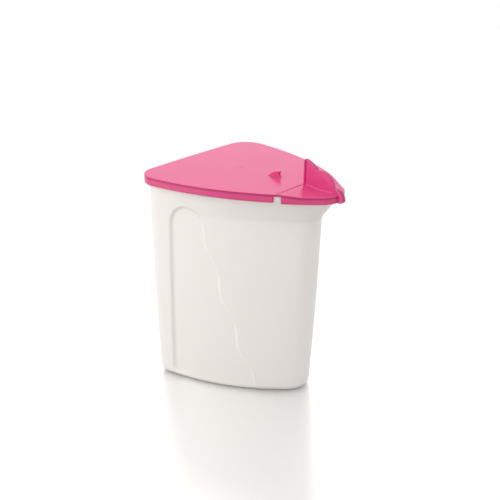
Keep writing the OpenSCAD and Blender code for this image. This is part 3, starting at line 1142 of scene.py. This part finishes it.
class KEEPER_OT_fin(bpy.types.Operator):
    """Moulds the upright scalloped fin, its flange, its root and the front tab"""

    bl_idname = "keeper.fin"
    bl_label = "Fin and tab"

    def execute(self, context):
        scene = context.scene
        lid, flap = scene.lid_sizes, scene.flap_sizes
        height, tip = lid.height, lid.tip
        top = flap_top(lid, flap)
        skirt_z = height - lid.skirt
        mid_z = height - flap.drop - flap.thick / 2
        start = HINGE_X + flap.fin_start
        flush_z = height - flap.thick / 2
        peak = (start + PEAK[0], height + flap.fin_h + PEAK[1])
        notch = (HINGE_X + NOTCH[0], height + NOTCH[1])
        step = (tip + STEP[0], height + STEP[1])
        lowest = skirt_z - flap.extra - TAB_DROP
        nose = (tip + flap.tab_reach, skirt_z)
        back_x = tip - lid.skirt_t / 2
        end = [(nose[0] - TAB_TAPER, lowest), (back_x, lowest), (back_x, mid_z)]
        over_rim = arc_points(step, nose, TAB_SAG, 24)
        bend = slope_start(flap)
        outline = [(bend + flap.slope, mid_z), (bend, flush_z), (start, flush_z)]
        outline.append((start, height + flap.fin_h))
        outline += arc_points(peak, notch, UPPER_SAG, 18)
        outline += arc_points(notch, step, LOWER_SAG, 26)[1:]
        outline += over_rim[1:] + end
        fin = rounded_slab("fin", outline, flap.fin_t, flap.fin_round)
        dress_pink(fin, "spout_flap")

        root = tip - flap.tab_root
        wide = [(root, mid_z)] + [p for p in over_rim if p[0] > root] + end[:-1]
        wide.append((back_x, mid_z))
        tab = rounded_slab("front_tab", wide, flap.tab_w, flap.fin_round)
        dress_pink(tab, "spout_flap")

        high = height + flap.fin_h
        ends = (start, start + flap.flange_t)
        strip = [(ends[0], flush_z), (ends[0], high), (ends[1], high), (ends[1], flush_z)]
        flange = rounded_slab("fin_flange", strip, flap.flange_w, flap.fin_round)
        dress_pink(flange, "spout_flap")

        wall, radius = flap.fin_t / 2, flap.root_r
        corner = [(wall - BURY, -BURY), (wall - BURY, radius)]
        for a in quarter(EDGE_BENDS):
            corner.append((wall + radius * (1 - math.cos(a)), radius * (1 - math.sin(a))))
        corner.append((wall + radius, -BURY))
        run = steps(start + ROOT_FROM, step[0] - ROOT_TO, 40)
        for side, name in ((1, "fin_root_left"), (-1, "fin_root_right")):
            points = [(x, side * y, top(x) + up) for x in run for y, up in corner]
            root_fillet = piece_from(name, points, closed(len(corner), len(run)))
            dress_pink(root_fillet, "spout_flap")
        return {"FINISHED"}


class KEEPER_OT_web(bpy.types.Operator):
    """Moulds the flexing web of the living hinge, in its shape with the flap shut"""

    bl_idname = "keeper.web"
    bl_label = "Living hinge"

    def execute(self, context):
        scene = context.scene
        lid, flap = scene.lid_sizes, scene.flap_sizes
        plan = lid_plan(lid)
        x0, x1 = HINGE_X - flap.web_w / 2, HINGE_X + flap.web_w / 2
        along, across, thinning = 12, 16, 0.22
        points = []
        for i in range(along + 1):
            x = x0 + (x1 - x0) * i / along
            half_t = flap.web_t / 2 * (1 - thinning * math.sin(math.pi * i / along))
            y = on_arc(plan.side, plan.side_r, plan.side_angle(x))[1]
            line = [(-y + 2 * y * j / across, HINGE_Z + half_t) for j in range(across + 1)]
            line += [(-w, HINGE_Z - half_t) for w, _ in line]
            points += [(x, w, z) for w, z in line]
        count = 2 * (across + 1)
        faces = sides(count, along + 1)
        for base in (0, along * count):
            faces += [
                (base + j, base + j + 1, base + count - 2 - j, base + count - 1 - j)
                for j in range(across)
            ]
        web = piece_from("hinge_web", points, faces)
        dress_pink(web, None, "living_hinge")
        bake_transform(web)
        return {"FINISHED"}


# The stage


MIDDLE = (0, 0, 0.15)  # what the lamps are turned to
SENSOR = 36  # width in millimetres


class KEEPER_OT_stage(bpy.types.Operator):
    """Sets the floor, the even light, the two soft lamps and the camera"""

    bl_idname = "keeper.stage"
    bl_label = "Stage"

    def execute(self, context):
        scene = context.scene
        setup = scene.stage_setup
        self.floor(setup)
        self.sky(scene, setup)
        self.lamp("key_lamp", (-0.62, 0.62, 1.15), setup.key, size=0.55)
        self.lamp("fill_lamp", (-0.62, -1.15, 0.85), setup.fill, size=1.1)
        self.camera(scene, setup)
        return {"FINISHED"}

    def floor(self, setup, radius=3, turns=96, low=-0.0002):
        r = Recipe(bpy.data.materials.new("floor_white"))
        seen = seen_directly(r)
        matt = r.node(
            "ShaderNodeBsdfPrincipled",
            Base_Color=GREY,
            Roughness=1.0,
            Emission_Color=r.blend(seen, BLACK, WHITE),
            Emission_Strength=setup.floor_glow,
        )
        sheen = r.node(
            "ShaderNodeBsdfPrincipled", Base_Color=WHITE, Metallic=1.0, Roughness=0.36
        )
        shader = r.node("ShaderNodeMixShader")
        for socket, value in zip(
            shader.inputs, (seen * setup.floor_sheen, matt.outputs[0], sheen.outputs[0])
        ):
            r.feed(socket, value)
        points = [
            (radius * math.cos(a), radius * math.sin(a), low)
            for a in steps(0, math.tau, turns)
        ]
        floor = piece_from("floor", points, [tuple(range(turns))])
        floor.data.materials.append(r.finish(shader))

    def sky(self, scene, setup):
        world = bpy.data.worlds.new("even_light")
        r = Recipe(world)
        even = opaque([setup.ambient] * 3)
        light = r.blend(seen_directly(r), even, WHITE)
        r.finish(r.node("ShaderNodeBackground", Color=light, Strength=1.0))
        scene.world = world

    def lamp(self, name, place, power, size):
        data = bpy.data.lights.new(name, "AREA")
        data.energy, data.size = power, size
        lamp = bpy.data.objects.new(name, data)
        lamp.location = place
        aim = Vector(MIDDLE) - Vector(place)
        lamp.rotation_euler = aim.to_track_quat("-Z", "Y").to_euler()
        bpy.context.scene.collection.objects.link(lamp)

    def camera(self, scene, setup):
        data = bpy.data.cameras.new("camera")
        data.lens, data.sensor_width = setup.lens, SENSOR
        data.shift_x, data.shift_y = setup.shift
        camera = bpy.data.objects.new("camera", data)
        turn, rise = setup.azimuth, setup.elevation
        level = math.cos(rise)
        back = Vector((math.sin(turn) * level, -math.cos(turn) * level, math.sin(rise)))
        camera.location = Vector(setup.target) + back * setup.distance
        camera.rotation_euler = (-back).to_track_quat("-Z", "Y").to_euler()
        scene.collection.objects.link(camera)
        scene.camera = camera
        scene.view_settings.view_transform = "Standard"


class KEEPER_PT_panel(bpy.types.Panel):
    """Lists the steps that build the container"""

    bl_label = "Container"
    bl_idname = "KEEPER_PT_panel"
    bl_space_type = "VIEW_3D"
    bl_region_type = "UI"
    bl_category = "Container"

    def draw(self, context):
        for step in STEPS:
            self.layout.operator(step.bl_idname)


GROUPS = {
    "lid_sizes": LidSizes,
    "flap_sizes": FlapSizes,
    "catch_sizes": CatchSizes,
    "vessel_sizes": VesselSizes,
    "recess_sizes": RecessSizes,
    "finishes": Finishes,
    "stage_setup": StageSetup,
}
STEPS = (
    KEEPER_OT_vessel,
    KEEPER_OT_lid,
    KEEPER_OT_catch,
    KEEPER_OT_flap,
    KEEPER_OT_fin,
    KEEPER_OT_web,
    KEEPER_OT_stage,
)


def register():
    for name, group in GROUPS.items():
        bpy.utils.register_class(group)
        setattr(bpy.types.Scene, name, PointerProperty(type=group))
    for step in STEPS:
        bpy.utils.register_class(step)
    bpy.utils.register_class(KEEPER_PT_panel)


def unregister():
    bpy.utils.unregister_class(KEEPER_PT_panel)
    for step in reversed(STEPS):
        bpy.utils.unregister_class(step)
    for name, group in reversed(GROUPS.items()):
        delattr(bpy.types.Scene, name)
        bpy.utils.unregister_class(group)


def main():
    register()
    for step in STEPS:
        _, action = step.bl_idname.split(".")
        getattr(bpy.ops.keeper, action)()


if __name__ == "__main__":
    main()
